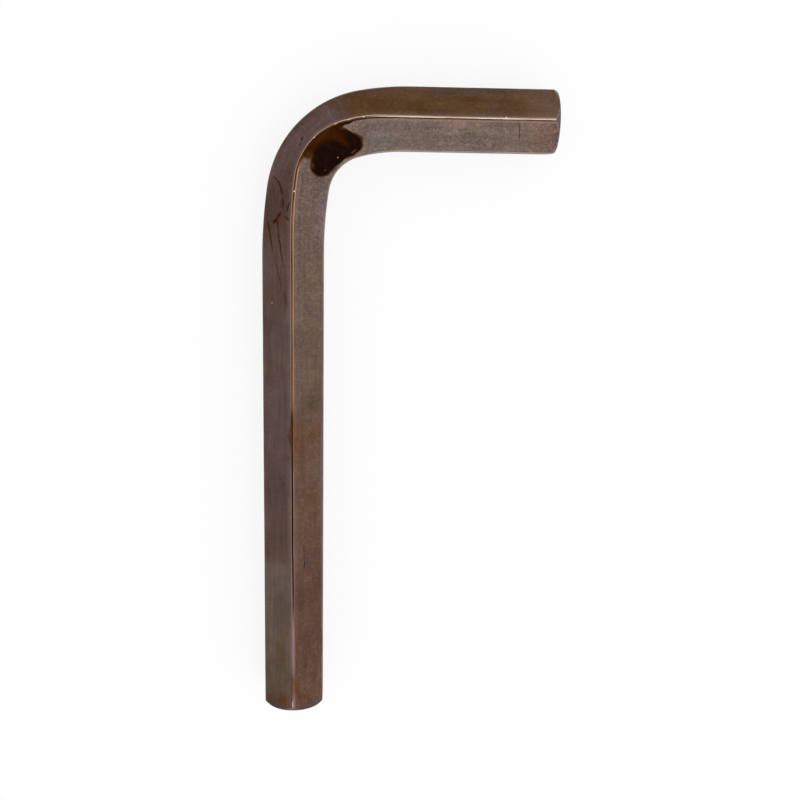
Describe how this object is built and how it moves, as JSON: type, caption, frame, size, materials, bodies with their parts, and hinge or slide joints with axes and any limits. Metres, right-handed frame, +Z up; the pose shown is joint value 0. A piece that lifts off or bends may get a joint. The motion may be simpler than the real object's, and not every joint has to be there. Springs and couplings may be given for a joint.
{
  "type": "hex key",
  "caption": "L-shaped key of hexagonal steel bar, bent across the flats, with bevelled tips, for turning hexagon socket screws.",
  "frame": {"origin": "centre of the bounding box's base: the key lies level on the lower corner edges of its two arms", "axes": "+Z up, square to the plane of the L; the long arm runs along Y with its tip at -Y; the short arm runs along X with its tip at +X; the bend is at -X +Y"},
  "size_m": [0.0288, 0.0636, 0.0069],
  "materials": {
    "oxidised_steel": "brown oxidised tool steel, satin, with dried oil stains"
  },
  "bodies": {
    "root": {"hex_key": "oxidised_steel"}
  },
  "joints": []
}
